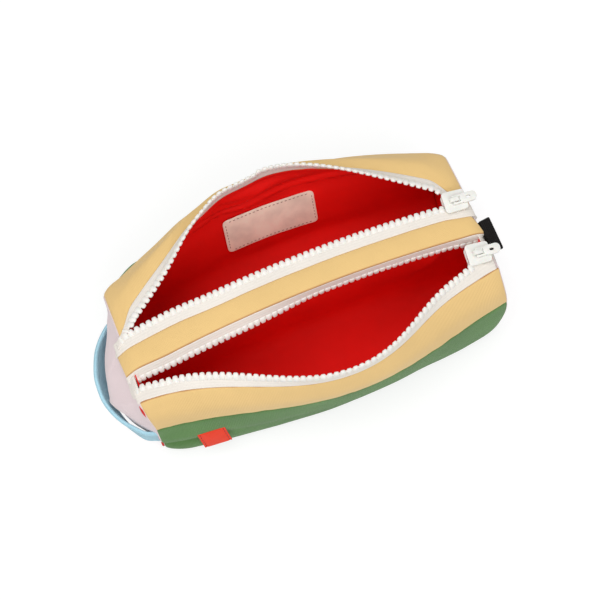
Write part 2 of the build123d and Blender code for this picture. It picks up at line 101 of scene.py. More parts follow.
def ripple(x, y, seed, size):
    """Smooth unevenness between -1 and 1, in patches of about the size."""
    return noise.noise(Vector((x / size, y / size, seed)))


def between(a, b, share):
    """The place at a share of the straight way from a to b."""
    return tuple(p + (q - p) * share for p, q in zip(a, b))


def midway(a, b, out=(0.0, 0.0), lift=0.0):
    """The place halfway between two, lifted that far to the outside."""
    return (a[0] + b[0]) / 2 + out[0] * lift, (a[1] + b[1]) / 2 + out[1] * lift


def path_steps(points):
    """The length of each step of the path."""
    return [hypot(b[0] - a[0], b[1] - a[1]) for a, b in zip(points, points[1:])]


def share_of(points, index):
    """How far along the path a point lies, from nought to one."""
    lengths = path_steps(points)
    return sum(lengths[:index]) / sum(lengths)


def on_path(points, share):
    """The place at a share of a smooth path through the points."""
    lengths = path_steps(points)
    left = share * sum(lengths)
    k = 0
    while k < len(lengths) - 1 and left > lengths[k]:
        left -= lengths[k]
        k += 1
    t = min(left / lengths[k], 1.0)
    a, b = points[k], points[k + 1]
    before = points[k - 1] if k else (2 * a[0] - b[0], 2 * a[1] - b[1])
    after = points[k + 2] if k + 2 < len(points) else (2 * b[0] - a[0], 2 * b[1] - a[1])
    to_before = lengths[k - 1] if k else lengths[k]
    to_after = lengths[k + 1] if k + 1 < len(lengths) else lengths[k]
    h = (2 * t**3 - 3 * t**2 + 1, t**3 - 2 * t**2 + t, 3 * t**2 - 2 * t**3, t**3 - t**2)
    place = []
    for i in (0, 1):
        leave = (b[i] - before[i]) * lengths[k] / (lengths[k] + to_before)
        reach = (after[i] - a[i]) * lengths[k] / (lengths[k] + to_after)
        place.append(h[0] * a[i] + h[1] * leave + h[2] * b[i] + h[3] * reach)
    return place


def outward(points, share, side):
    """The outside direction of the path there; side is +1 where it lies to the left."""
    a, b = on_path(points, max(share - 0.01, 0)), on_path(points, min(share + 0.01, 1))
    length = hypot(b[0] - a[0], b[1] - a[1])
    return (-(b[1] - a[1]) / length * side, (b[0] - a[0]) / length * side)


def laid(points, share, side, lift):
    """The place on the path, lifted off it to the outside."""
    place, out = on_path(points, share), outward(points, share, side)
    return place[0] + out[0] * lift, place[1] + out[1] * lift


# The shape of the case, as the loops and edges that its panels share: half its length,
# the height of the strip and the height of the front wall's upper seam, in millimetres
HALF = 103.2
TOP = 72.0
SEAM_Z = 42.0


def bow(x):
    """How far the strip has fallen back from its crest."""
    return (x - 15.0) ** 2 / 1600.0


def end_droop(x):
    """How far the top has turned down over the end of the case."""
    e = max(0.0, (abs(x) - 97.0) / 10.0)
    return 5.5 * e * e


def corner_pull(x):
    """Nought along the case, rising to one where its corners round off at the ends."""
    e = min(max(0.0, (abs(x) - 93.0) / 10.3), 1.0)
    return 1 - sqrt(max(0.0, 1 - e * e))


def reach_out(x, z, left=1.6):
    """The place along the case once its ends have spread, the right one most halfway up."""
    spread_by = 3.8 * hump(z, 34, 28) if x > 0 else -left
    return x + spread_by * ramp(abs(x), 84, HALF)


def reach_front(x, z):
    """The same for the front, whose left end spreads less, or draws in, below its top edge."""
    return reach_out(x, z, 1.6 - 3.3 * ramp(70 - z, 0, 30) - 1.4 * ramp(40 - z, 0, 40))


# Each seam or edge below gives its y, or its y and z, at a place along the case
def front_base(x):
    fullness = 1.5 * hump(x, -68, 30) + 2.6 * hump(x, 84, 24) - 2.4 * hump(x, -104, 13)
    return -(45.0 + 13.0 * swell(x, 130.0) + fullness) + 3.0 * corner_pull(x)


def back_base(x):
    return 44.0 + 10.0 * swell(x, 130.0) - 3.0 * corner_pull(x)


def front_seam(x):
    return (-(41.0 + 20.5 * swell(x, 128.0, 14.0)), SEAM_Z - 0.5 * corner_pull(x))


def front_edge(x):
    lift = 1.0 * hump(x, -60, 40) + 3.4 * hump(x, 63, 24)
    return (-(31.0 + 27.5 * swell(x, 112.0)) + lift, 70.0 - 0.5 * end_droop(x))


def back_lift(x):
    """How far the back's outline stands fuller left of its crest."""
    return 2.6 * hump(x, -24, 12) + 2.4 * hump(x, -46, 14)


def back_edge(x):
    """The tan edge along the back zip, drawn in towards the strip at both ends."""
    drawn = 13.0 * ramp(x, 88, 103) + 5.0 * ramp(-x, 90, 101)
    y = 64.5 - 50.5 * spread(x, 4.0, 104.0, 1.65) + 1.6 * hump(x, 4, 36) + back_lift(x) - drawn
    return (y, 70.5 - 0.6 * end_droop(x))


def back_shoulder(x):
    y = 70.0 - 32.0 * spread(x, 8.0, 108.0, 1.8) - 0.8 * hump(x, -8, 24) + back_lift(x)
    y += 2.0 * ramp(-x, 88, 101)
    return (y - 1.6 * corner_pull(x), 60.0 + 2.0 * spread(x, 0, 103, 2) - 1.5 * corner_pull(x))


def back_seam(x):
    return (back_shoulder(x)[0] + 0.5, 46.0 + 8.0 * spread(x, 0, 103, 2) - 2.0 * corner_pull(x))


def tucked(share, depth, width):
    """How far cloth dips in at its sewn edges, at the start and end of its run."""
    return depth * (exp(-share / width) + exp(-(1 - share) / width))


def pucker(x, share, seed):
    """Small gathers in cloth along its sewn edges."""
    near = exp(-share / 0.14) + exp(-(1 - share) / 0.14)
    return 0.55 * ripple(x, share * 12, seed, 6.5) * near


# Each panel: u runs along the case from -1 to 1, and v from 0 to 1 up or over it
def front_wall_place(u, v):
    x = u * HALF
    base, seam = front_base(x), front_seam(x)
    belly = 1.2 + 0.8 * ripple(x, 0, 3.1, 60)
    run = [(base + 9, 0.2), (base + 2.4, 2.2), (base, 9), ((base + seam[0]) / 2 - belly, 25), seam]
    crease = 4.2 * hump(x, -106, 36) * hump(v, 0.44 + 0.002 * (x + 103), 0.075)
    lobes = 2.2 * hump(x, -104, 30) * (hump(v, 0.68, 0.15) + 0.8 * hump(v, 0.24, 0.1))
    dent = 1.0 * hump(x, -30, 40) * hump(v, 0.5, 0.12)
    uneven = 0.5 * ripple(x, v * 50, 7.0, 26) * sin(pi * v)
    lift = lobes - crease - dent + uneven - tucked(v, 0.7, 0.03) + 0.6 * pucker(x, v, 8.0)
    y, z = laid(run, v, 1, lift)
    return reach_front(x, z), y, max(z, 0.05)


def back_wall_place(u, v):
    x = u * HALF
    base, seam = back_base(x), back_seam(x)
    belly = 1.2 + 0.8 * ripple(x, 0, 5.1, 60)
    run = [(base - 16, 0.2), (base - 5, 4.2), (base, 15), ((base + seam[0]) / 2 + belly, 32), seam]
    slouch = 7.4 * hump(x, -81, 18) * hump(v, 0.78, 0.2)
    uneven = 0.7 * ripple(x, v * 50, 9.0, 28) * sin(pi * v)
    y, z = laid(run, v, -1, slouch + uneven - tucked(v, 0.7, 0.03) + 0.6 * pucker(x, v, 10.0))
    return reach_out(x, z, -0.8), y, max(z, 0.05)


def base_place(u, v):
    x = u * HALF
    front, back = front_base(x) + 8.6, back_base(x) - 15.6
    return reach_out(x, 0, -3.1 + 2.3 * v), front + (back - front) * v, 0.1


def front_band_place(u, v):
    x = u * HALF
    seam, edge = front_seam(x), front_edge(x)
    out = outward([seam, edge], 0.5, 1)
    belly = 3.0 - 1.0 * corner_pull(x)
    run = [seam, midway(seam, edge, out, belly), edge]
    uneven = 0.4 * ripple(x, v * 30, 2.0, 30) * sin(pi * v)
    y, z = laid(run, v, 1, uneven - tucked(v, 0.6, 0.035) + pucker(x, v, 12.0))
    return reach_front(x, z), y, z


def back_band_place(u, v):
    x = u * HALF
    seam, shoulder, edge = back_seam(x), back_shoulder(x), back_edge(x)
    out = outward([shoulder, edge], 0.5, -1)
    rise = 3.2 - 1.2 * corner_pull(x)
    below, above = (shoulder[0] + 0.4, shoulder[1] - 2), (shoulder[0] - 2.5, shoulder[1] + 2)
    run = [seam, below, above, midway(shoulder, edge, out, rise), edge]
    uneven = 0.45 * ripple(x, v * 40, 4.0, 32) * sin(pi * v)
    y, z = laid(run, v, -1, uneven - tucked(v, 0.6, 0.03) + pucker(x, v, 14.0))
    return reach_out(x, z, -0.8), y, z


def strip_back(x):
    return 7.3 + 1.3 * ramp(-x, 45, 75) - 1.2 * ramp(x, 84, 100)


def strip_front(x):
    return -6.0 + 1.2 * ramp(-x, 80, 102) + 0.4 * ramp(x, 90, 104)


def strip_place(u, v):
    low, high = -107.6 + 0.7 * (1 - v), 101.9 + 3.7 * (1 - v)
    x = low + (u + 1) / 2 * (high - low)
    side = strip_front(x) + v * (strip_back(x) - strip_front(x))
    crown = 3.2 * v * (1 - v) - tucked(v, 0.7, 0.06)
    uneven = 0.35 * ripple(x, side, 6.0, 34) + 0.6 * pucker(x, v, 16.0)
    return x, side - bow(x), TOP - 0.6 + crown + uneven - end_droop(x)


# Rows of teeth: where each tape leaves its cloth, and the way it goes
class Row:
    """One half of a zip: its root in y and z, its tilt in degrees and the tape shown, in mm.

    ends and tooth_ends are the places along the case where its tape and teeth start and stop.
    """

    def __init__(self, name, root, tilt, shown, ends, tooth_ends):
        self.name, self.root, self.tilt, self.shown = name, root, tilt, shown
        self.ends, self.tooth_ends = ends, tooth_ends

    def at(self, x, reach, lift=0.0):
        """The place that far out along the tape, lifted off its upper face."""
        start, angle = self.root(x), radians(self.tilt(x))
        c, s = cos(angle), sin(angle)
        side = 1 if c >= 0 else -1
        return Vector((x, start[0] + c * reach - s * lift * side, start[1] + s * reach + c * lift * side))


def back_inner_root(x):
    return (strip_back(x) - 0.7 - bow(x), 70.9 - end_droop(x))


def front_inner_root(x):
    return (strip_front(x) + 0.7 - bow(x), 70.6 - end_droop(x))


def front_inner_tilt(x):
    return -180 + 50 + 28 * ramp(x, -40, 12) - 14 * ramp(x, 84, 100)


def front_outer_root(x):
    edge, below = front_edge(x), front_seam(x)
    length = hypot(edge[0] - below[0], edge[1] - below[1])
    in_y, in_z = (edge[0] - below[0]) / length, (edge[1] - below[1]) / length
    return (edge[0] - in_y * 0.8 + in_z * 0.6, edge[1] - in_z * 0.8 - in_y * 0.6)


def front_outer_tilt(x):
    return (-8.0 + 92.0 * swell(x, 105.0) ** 0.6) * (1 - 0.8 * ramp(x, 86, 98))


def back_outer_root(x):
    edge = back_edge(x)
    return (edge[0] + 0.8 - 1.2 * hump(x, -8, 30), edge[1] - 0.5)


def back_outer_tilt(x):
    if x < 0:
        return 180 - 14 - 76 * ramp(x, -84, -24)
    return 180 - (16 + 80 * swell(x, 96.0, 0.0) ** 0.9) * (1 - ramp(x, 86, 100))


ROWS = (
    Row("back_inner", back_inner_root, lambda x: 1.0, lambda x: 5.0, (-107.0, 104.5), (-99.0, 99.0)),
    Row("front_inner", front_inner_root, front_inner_tilt, lambda x: 4.8, (-107.0, 105.5), (-101.5, 99.0)),
    Row(
        "front_outer",
        front_outer_root,
        front_outer_tilt,
        lambda x: 4.9 + 2.2 * ramp(x, 80, 99) + 1.2 * ramp(-x, 88, 102),
        (-106.0, 103.0),
        (-100.5, 92.0),
    ),
    Row(
        "back_outer",
        back_outer_root,
        back_outer_tilt,
        lambda x: 5.0 - 1.5 * ramp(x, 92, 101) - 3.6 * ramp(-x, 88, 103),
        (-105.5, 102.5),
        (-95.0, 92.0),
    ),
)


# Linings: each compartment is one bag of cloth hung from its two zips. Half a bag's length
# and the height of its floor, in millimetres
BAG_HALF = 101.5
BAG_FLOOR = 1.3


def front_bag_run(x):
    base, seam, edge = front_base(x), front_seam(x), front_edge(x)
    back = -0.6 - bow(x)
    clear = 3.0 * hump(x, -106, 36)
    return [
        (back - 4.4, 69.6 - end_droop(x)),
        (back - 2.0, 60),
        (back - 0.8, 34),
        (back - 2.0, 9),
        (back - 9, 2.2),
        ((base + back) / 2, 1.8),
        (base + 10, 2.4),
        (base + 3.2 + clear, 9),
        ((base + seam[0]) / 2 + 2.4 + clear, 26),
        (seam[0] + 2.6, SEAM_Z),
        ((seam[0] + edge[0]) / 2 + 1.2, (SEAM_Z + 70) / 2),
        (edge[0] + 0.4, 69.4 - 1.4 * ramp(abs(x), 66, 92) - 0.5 * end_droop(x)),
    ]


def front_bag_place(u, v):
    x = u * BAG_HALF
    slack = ramp(v, 0.0, 0.12) * ramp(1 - v, 0.0, 0.1)
    folds = 1.2 * ripple(x + 30 * v, v * 60, 11.0, 34) + 0.5 * ripple(x * 0.7, v * 200, 13.0, 16)
    tuck = 4.5 * hump(x, 84 - 60 * v, 6) * hump(v, 0.13, 0.1)
    y, z = laid(front_bag_run(x), v, 1, (folds - tuck - 0.6) * slack)
    return x + 3.4 * ramp(-x, 84, BAG_HALF) * ramp(70 - z, 0, 36), y, max(z, BAG_FLOOR)


# The points of back_bag_run between which its back wall stands
WALL_LOW, WALL_HIGH = 8, 10


def back_bag_run(x):
    base, seam, shoulder, edge = back_base(x), back_seam(x), back_shoulder(x), back_edge(x)
    front = 0.6 - bow(x)
    deep = 1.3 * hump(x, -27, 12)
    low, high = (base - 2.9 + deep, 17.0), (seam[0] - 3.6 + 0.4 * deep, seam[1] - 2.0)
    return [
        (front + 4.2, 69.6 - end_droop(x)),
        (front + 1.4, 60),
        (front + 0.6, 34),
        (front + 1.8, 9),
        (front + 9, 2.2),
        ((base + front) / 2 - 4, 1.8),
        (base - 16, 2.6),
        (base - 6.4, 7.4),
        low,
        midway(low, high),
        high,
        (shoulder[0] - 4.8, shoulder[1] - 1.4),
        ((shoulder[0] + edge[0]) / 2 - 0.6, (shoulder[1] + edge[1]) / 2 - 0.8),
        (edge[0] + 0.4 - 1.2 * hump(x, -8, 30), 69.8 - 1.2 * ramp(abs(x), 80, 98) - 0.6 * end_droop(x)),
    ]


# The name patch on that wall: its middle along the case and its height there, then half its
# length and half its width, in millimetres
PATCH_X, PATCH_Z = 3.0, 27.4
PATCH_HALF, PATCH_TALL = 28.2, 12.0


def back_bag_place(u, v):
    x = u * BAG_HALF
    run = back_bag_run(x)
    slack = ramp(v, 0.0, 0.1) * ramp(1 - v, 0.0, 0.06)
    folds = 1.1 * ripple(x + 20 * v, v * 60, 21.0, 36) + 0.5 * ripple(x * 0.6, v * 220, 23.0, 15)
    low, high = share_of(run, WALL_LOW), share_of(run, WALL_HIGH)
    flat = (1 - ramp(abs(x - PATCH_X), 26, 36)) * ramp(v, low - 0.03, low) * (1 - ramp(v, high - 0.03, high))
    welt = high + 0.022 + 0.008 * sin(x / 15.0) + 0.006 * sin(x / 6.1 + 1)
    ridge = 3.4 * hump(v, welt, 0.01) - 0.9 * hump(v, welt - 0.022, 0.012)
    second = 2.2 * hump(v, welt + 0.05 + 0.01 * sin(x / 11.0), 0.01) * ramp(-x, -20, 30)
    puff = 14.0 * hump(x, 85, 12) * hump(v, 0.055, 0.032) * ramp(v, 0.0, 0.03)
    puff -= 3.0 * hump(x, 90, 6) * hump(v, 0.07, 0.012)
    y, z = laid(run, v, -1, (folds * (1 - flat) - ridge - second - 0.6) * slack - puff)
    return x + 1.2 * ramp(-x, 84, BAG_HALF), y, max(z, BAG_FLOOR)


# Cloth and piece helpers
def fill_uvs(bm, uv, size, hem=None, edge=None):
    """UVs in metres of flat cloth from a unit grid, and each place's distance from a sewn hem."""
    for face in bm.faces:
        for loop in face.loops:
            u, v = (loop.vert.co.x + 1) / 2, (loop.vert.co.y + 1) / 2
            loop[uv].uv = (u * size[0] * MM, v * size[1] * MM)
            if hem:
                loop[edge].uv = (u * size[0] * MM, hem(v) * size[1] * MM)


def cloth_grid(along, across, place, size, flip=False, hem=None):
    """Cloth shaped by place(u, v), where u runs from -1 to 1 and v from 0 to 1; size in mm."""
    bm = bmesh.new()
    uv = bm.loops.layers.uv.new("Cloth")
    edge = bm.loops.layers.uv.new("Hem") if hem else None
    bmesh.ops.create_grid(bm, x_segments=along, y_segments=across, size=1)
    fill_uvs(bm, uv, size, hem, edge)
    for vert in bm.verts:
        vert.co = point(*place(vert.co.x, (vert.co.y + 1) / 2))
    if flip:
        bmesh.ops.reverse_faces(bm, faces=bm.faces)
    return bm


def disc_grid(loop, rings, centre, shape):
    """Cloth filling a loop of places: shape(x, y, z, v) moves each, v being 0 at the centre."""
    bm = bmesh.new()
    uv = bm.loops.layers.uv.new("Cloth")
    bmesh.ops.create_grid(bm, x_segments=len(loop), y_segments=rings, size=1)
    for vert in bm.verts:
        k, v = round((vert.co.x + 1) / 2 * len(loop)) % len(loop), (vert.co.y + 1) / 2
        x, y, z = loop[k]
        y, z = centre[0] + (y - centre[0]) * v, centre[1] + (z - centre[1]) * v
        vert.co = point(*shape(x, y, z, v))
    bmesh.ops.remove_doubles(bm, verts=bm.verts, dist=2e-6)
    bmesh.ops.recalc_face_normals(bm, faces=bm.faces)
    for face in bm.faces:
        for item in face.loops:
            item[uv].uv = (item.vert.co.y, item.vert.co.z)
    return bm


def face_towards(bm, direction):
    """Turns an open sheet so that its faces look that way on the whole."""
    bm.normal_update()
    if sum((f.normal * f.calc_area() for f in bm.faces), Vector()).dot(direction) < 0:
        bmesh.ops.reverse_faces(bm, faces=bm.faces)


def round_edges(bm, edges, offset, segments=2, clamp=False):
    """Rounds moulded edges by an offset in millimetres."""
    settings = {"affect": "EDGES", "profile": 0.5, "material": -1, "clamp_overlap": clamp}
    bmesh.ops.bevel(bm, geom=edges, offset=offset * MM, segments=segments, **settings)


def axes(along, across, up):
    """The turn that lays x, y and z along three directions."""
    return Matrix((along, across, up)).transposed().to_4x4()


def swung(along, up, turn):
    """Two directions turned together in their own plane."""
    return along * cos(turn) + up * sin(turn), up * cos(turn) - along * sin(turn)


def add_object(name, bm, material):
    """The mesh as an object of the scene, with its material."""
    mesh = bpy.data.meshes.new(name)
    bm.to_mesh(mesh)
    bm.free()
    mesh.materials.append(material)
    item = bpy.data.objects.new(name, mesh)
    bpy.context.scene.collection.objects.link(item)
    return item


def add_piece(name, bm, material, stands_for=(), body="case"):
    """A piece that rides on a body and shows instead of the frame's nodes."""
    piece = add_object(name, bm, material)
    piece.data.shade_smooth()
    if body:
        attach(piece, body)
    if stands_for:
        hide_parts(*stands_for)
    return piece


def thicken(piece, thickness, offset=-1, levels=1):
    """Gives cloth its thickness, in metres, laid inside by default, and rounds its edges."""
    solid = piece.modifiers.new("Thickness", "SOLIDIFY")
    solid.thickness = thickness
    solid.offset = offset
    solid.use_even_offset = True
    smooth = piece.modifiers.new("Soft edges", "SUBSURF")
    smooth.levels = smooth.render_levels = levels
    return piece


def closed_tube(path, radius, sides=8):
    """A round cord through a closed loop of places, as rings joined side to side."""
    count = len(path)
    bm = bmesh.new()
    uv = bm.loops.layers.uv.new("Cloth")
    bmesh.ops.create_grid(bm, x_segments=count, y_segments=sides, size=1)
    length = sum((b - a).length for a, b in zip(path, path[1:])) / MM
    fill_uvs(bm, uv, (length, 2 * pi * radius))
    for vert in bm.verts:
        k = round((vert.co.x + 1) / 2 * count)
        turn = (vert.co.y + 1) * pi
        run = (path[(k + 1) % count] - path[(k - 1) % count]).normalized()
        aside = run.cross(Vector((1, 0, 0))).normalized()
        vert.co = path[k % count] + (aside * cos(turn) + aside.cross(run) * sin(turn)) * radius * MM
    bmesh.ops.remove_doubles(bm, verts=bm.verts, dist=1e-6)
    bmesh.ops.recalc_face_normals(bm, faces=bm.faces)
    return bm


def stitches(places, length, thick):
    """Small thread stitches, each at (place, run, outside); length and thickness in mm."""
    bm = bmesh.new()
    size = Matrix.Diagonal((length / 2 * MM, thick / 2 * MM, thick / 2 * MM, 1))
    for place, run, out in places:
        turn = axes(run.normalized(), out.cross(run).normalized(), out.normalized())
        lie = Matrix.Translation(place) @ turn @ size
        bmesh.ops.create_icosphere(bm, subdivisions=1, radius=1, matrix=lie)
    return bm


# Materials
def blank(name):
    """A material of that name with an empty node tree."""
    material = bpy.data.materials.new(name)
    material.use_nodes = True
    material.node_tree.nodes.clear()
    return material


def add(material, kind, values=None, links=None, **settings):
    """Adds a shader node with its settings, socket values and incoming links."""
    tree = material.node_tree
    node = tree.nodes.new(f"ShaderNode{kind}")
    for key, value in settings.items():
        setattr(node, key, value)
    for key, value in (values or {}).items():
        node.inputs[key].default_value = value
    for key, socket in (links or {}).items():
        tree.links.new(socket, node.inputs[key])
    return node


def shade(material, values, links):
    """Gives the material its main shader, joined to the output."""
    main = add(material, "BsdfPrincipled", values, links)
    add(material, "OutputMaterial", links={"Surface": main.outputs["BSDF"]})


def cloudy(material, place, size, detail, roughness, span, shades):
    """A slow change of tone in patches of about the size in mm, as a factor of the colour."""
    values = {"Scale": 1 / (size * MM), "Detail": detail, "Roughness": roughness}
    cloud = add(material, "TexNoise", values, {"Vector": place})
    tone_range = {"From Min": span[0], "From Max": span[1], "To Min": shades[0], "To Max": shades[1]}
    return add(material, "MapRange", tone_range, {"Value": cloud.outputs["Fac"]}).outputs[0]


def band_scale(spacing):
    """The wave texture's scale for bands this many millimetres apart."""
    return 2 * pi / (20 * spacing * MM)


MULTIPLY = {"data_type": "RGBA", "blend_type": "MULTIPLY"}


def woven(name, colour, spacing, depth, roughness=0.85, sheen=0.2, mottle=0.1, coarse=1.0, hem=None):
    """Plain-woven cloth: threads over and under, slubs, and slow changes of tone.

    spacing and depth are the threads' in mm, and coarse is the weft's spacing against the
    warp's. hem is the width in mm and the colour of the shadow line along a sewn hem.
    """
    material = blank(name)
    place = add(material, "UVMap", uv_map="Cloth").outputs["UV"]
    noise_values = {"Scale": 1 / (9 * MM), "Detail": 4.0, "Roughness": 0.6}
    slub = add(material, "TexNoise", noise_values, {"Vector": place})
    wave = {"Scale": band_scale(spacing), "Distortion": 0.6, "Detail": 2.0, "Detail Scale": 1.5}
    warp = add(material, "TexWave", wave, {"Vector": place}, bands_direction="X")
    wave["Scale"] = band_scale(spacing * coarse)
    weft = add(material, "TexWave", wave, {"Vector": place}, bands_direction="Y")
    cross = add(material, "Math", links={0: warp.outputs["Fac"], 1: weft.outputs["Fac"]})
    joined = {0: slub.outputs["Fac"], 2: cross.outputs[0]}
    threads = add(material, "Math", {1: 0.8}, joined, operation="MULTIPLY_ADD").outputs[0]
    shades = (1 - mottle, 1 + mottle * 0.5)
    tone = cloudy(material, place, 38, 3.0, 0.55, (0.3, 0.7), shades)
    fleck_range = {"From Min": 0.2, "From Max": 2.4, "To Min": shades[0], "To Max": shades[1]}
    fleck = add(material, "MapRange", fleck_range, {"Value": threads})
    changes = {0: tone, 1: fleck.outputs[0]}
    both = add(material, "Math", links=changes, operation="MULTIPLY")
    coloured = add(material, "Mix", {0: 1.0, 6: (*colour, 1)}, {7: both.outputs[0]}, **MULTIPLY)
    # Painted shade: within the hem width of a sewn edge the colour turns to the hem colour, a painted shadow
    # line where the cloth folds under
    if hem:
        edge = add(material, "UVMap", uv_map="Hem").outputs["UV"]
        away = add(material, "SeparateXYZ", links={0: edge})
        near_range = {"From Min": hem[0] * MM, "From Max": 0.25 * hem[0] * MM}
        near = add(material, "MapRange", near_range, {"Value": away.outputs["Y"]})
        mixed = {0: near.outputs[0], 6: coloured.outputs[2]}
        coloured = add(material, "Mix", {7: (*linear(hem[1]), 1)}, mixed, data_type="RGBA")
    bump = add(material, "Bump", {"Strength": 0.7, "Distance": depth * MM}, {"Height": threads})
    values = {"Roughness": roughness, "Specular IOR Level": 0.25}
    values |= {"Sheen Weight": sheen, "Sheen Roughness": 0.5}
    shade(material, values, {"Base Color": coloured.outputs[2], "Normal": bump.outputs["Normal"]})


def moulded(name, colour, roughness):
    """Injection-moulded acetal: smooth, faintly cloudy, softly glossy."""
    material = blank(name)
    place = add(material, "TexCoord").outputs["Object"]
    tone = cloudy(material, place, 5, 2.0, 0.5, (0.3, 0.7), (0.93, 1.0))
    tinted = add(material, "Mix", {0: 1.0, 6: (*colour, 1)}, {7: tone}, **MULTIPLY)
    grain = add(material, "TexNoise", {"Scale": 1 / (0.5 * MM), "Detail": 2.0}, {"Vector": place})
    height = {"Height": grain.outputs["Fac"]}
    bump = add(material, "Bump", {"Strength": 0.2, "Distance": 0.03 * MM}, height)
    values = {"Roughness": roughness, "IOR": 1.48, "Subsurface Weight": 0.05, "Subsurface Scale": 0.4 * MM}
    shade(material, values, {"Base Color": tinted.outputs[2], "Normal": bump.outputs["Normal"]})


def leather(name, colour):
    """Thin coated leather: a fine pebbled grain, cloudy dye and a low sheen."""
    material = blank(name)
    place = add(material, "TexCoord").outputs["Object"]
    pebble = add(material, "TexVoronoi", {"Scale": 1 / (0.9 * MM)}, {"Vector": place})
    tone = cloudy(material, place, 11, 5.0, 0.5, (0.32, 0.68), (0.84, 1.06))
    coloured = add(material, "Mix", {0: 1.0, 6: (*colour, 1)}, {7: tone}, **MULTIPLY)
    height = {"Height": pebble.outputs["Distance"]}
    bump = add(material, "Bump", {"Strength": 0.4, "Distance": 0.12 * MM}, height)
    values = {"Roughness": 0.5, "Specular IOR Level": 0.4}
    shade(material, values, {"Base Color": coloured.outputs[2], "Normal": bump.outputs["Normal"]})


def finishes(look):
    """Every finish of the case, made once."""
    if "green cotton canvas" not in bpy.data.materials:
        # Canvas: threads about 0.5 mm apart, drawn at 0.9 so that they show; matt, faintly downy
        woven("green cotton canvas", look.green, 0.9, 0.16, mottle=0.16)
        # The tan's hem colour #B98250 is a painted shadow line 1 mm wide along its sewn edges
        woven("tan cotton canvas", look.tan, 0.8, 0.08, mottle=0.05, hem=(1.0, "#B98250"))
        woven("pink cotton canvas", look.pink, 0.8, 0.09, mottle=0.05)
        # Lining: thin, close polyester, smoother than the canvas
        woven("red polyester lining", look.lining, 0.6, 0.05, roughness=0.75, sheen=0.0, mottle=0.07)
        # Binding: the canvas's cord, in a brighter red than the lining
        woven("red cotton binding", look.piping, 0.6, 0.1, mottle=0.1)
        # Zip tape: a ribbed knit, its ribs along the tape
        woven("white zip tape", look.tape, 0.7, 0.1, sheen=0.1, mottle=0.05, coarse=2.0)
        # Webbing: thick yarns that show as ribs across the strap, and a duller nylon for the tab
        woven("blue cotton webbing", look.webbing, 1.1, 0.3, mottle=0.12, coarse=0.7)
        woven("black nylon webbing", look.black, 1.2, 0.35, roughness=0.7, sheen=0.0, mottle=0.2, coarse=0.6)
        # Satin: fine threads and a tighter shine
        woven("red satin tag", look.tag, 0.5, 0.05, roughness=0.55, sheen=0.05, mottle=0.05)
        woven("dark red thread", linear("#A3271C"), 0.3, 0.05)
        woven("brown thread", linear("#A97D6C"), 0.3, 0.05)
        moulded("white acetal teeth", look.teeth, 0.4)
        moulded("white acetal slider", look.slider, 0.3)
        leather("pale coated leather", look.leather)
    return bpy.data.materials


# Sizes and colours a user would change
def length_of(title, about, default):
    kind = {"subtype": "DISTANCE", "unit": "LENGTH"}
    return FloatProperty(name=title, description=about, default=default, min=0.1 * MM, max=20 * MM, **kind)


def colour_of(title, code):
    about = f"Colour of the {title.lower()}"
    return FloatVectorProperty(name=title, description=about, default=linear(code), subtype="COLOR", size=3)


class CaseLook(bpy.types.PropertyGroup):
    """Sizes and colours of the case"""

    canvas: length_of("Canvas", "Thickness of the outer canvas", 0.0011)
    lining_cloth: length_of("Lining cloth", "Thickness of the lining", 0.0006)
    strap: length_of("Strap", "Thickness of the doubled webbing loop", 0.0024)
    bulge_left: length_of("Left bulge", "How far the left end panel stands out", 0.0172)
    bulge_right: length_of("Right bulge", "How far the right end panel stands out", 0.002)
    pitch: length_of("Tooth pitch", "Step from tooth to tooth", 0.0036)
    green: colour_of("Walls", "#608B4E")
    tan: colour_of("Bands", "#ECC785")
    pink: colour_of("Ends", "#ECDADC")
    lining: colour_of("Lining", "#F20C04")
    piping: colour_of("Piping", "#E0261A")
    tape: colour_of("Zip tape", "#F0E9E0")
    teeth: colour_of("Teeth", "#F5F2EC")
    slider: colour_of("Sliders", "#F1F0EA")
    webbing: colour_of("Loop", "#B6E4F4")
    black: colour_of("Tab", "#120E0B")
    tag: colour_of("Tag", "#F23C1C")
    leather: colour_of("Patch", "#FFF4E0")


class CaseOperator:
    """What the building operators share"""

    bl_options = {"REGISTER", "UNDO"}

    def execute(self, context):
        look = context.scene.case_look
        self.build(look, finishes(look))
        return {"FINISHED"}


class CASE_OT_walls(CaseOperator, bpy.types.Operator):
    """Build the green canvas walls and base"""

    bl_idname = "case.walls"
    bl_label = "Walls and base"

    def build(self, look, finish):
        canvas = finish["green cotton canvas"]
        for name, place, flip in (
            ("front_wall", front_wall_place, False),
            ("back_wall", back_wall_place, True),
        ):
            bm = cloth_grid(120, 30, place, (206, 52), flip)
            thicken(add_piece(f"{name}_canvas", bm, canvas, [name]), look.canvas)
        bm = cloth_grid(60, 12, base_place, (206, 86), True)
        thicken(add_piece("base_canvas", bm, canvas, ["base_panel"]), look.canvas)


class CASE_OT_bands(CaseOperator, bpy.types.Operator):
    """Build the tan bands over the top and the strip between the zips"""

    bl_idname = "case.bands"
    bl_label = "Bands and strip"

    def build(self, look, finish):
        canvas = finish["tan cotton canvas"]
        for name, place, size, flip, hem in (
            ("front_band", front_band_place, (206, 30), False, lambda v: 1 - v),
            ("back_band", back_band_place, (206, 42), True, lambda v: 1 - v),
            ("middle_strip", strip_place, (211, 12), False, lambda v: min(v, 1 - v)),
        ):
            bm = cloth_grid(130, 24, place, size, flip, hem)
            thicken(add_piece(f"{name}_canvas", bm, canvas, [name]), look.canvas)


# The webbing loop: the middle and radius of its arc, half the arc in degrees, the width of
# the webbing, its height and the room kept under it, in millimetres
STRAP_MIDDLE = (-77.0, -6.0)
STRAP_RADIUS = 44.2
STRAP_TURN = 58.0
STRAP_WIDTH = 15.0
STRAP_Z = 26.5
STRAP_ROOM = 1.7


def loop_reach(y):
    """How far out the webbing loop's middle stands there."""
    return sqrt(max(STRAP_RADIUS**2 - (y - STRAP_MIDDLE[1]) ** 2, 0.0)) - STRAP_MIDDLE[0]


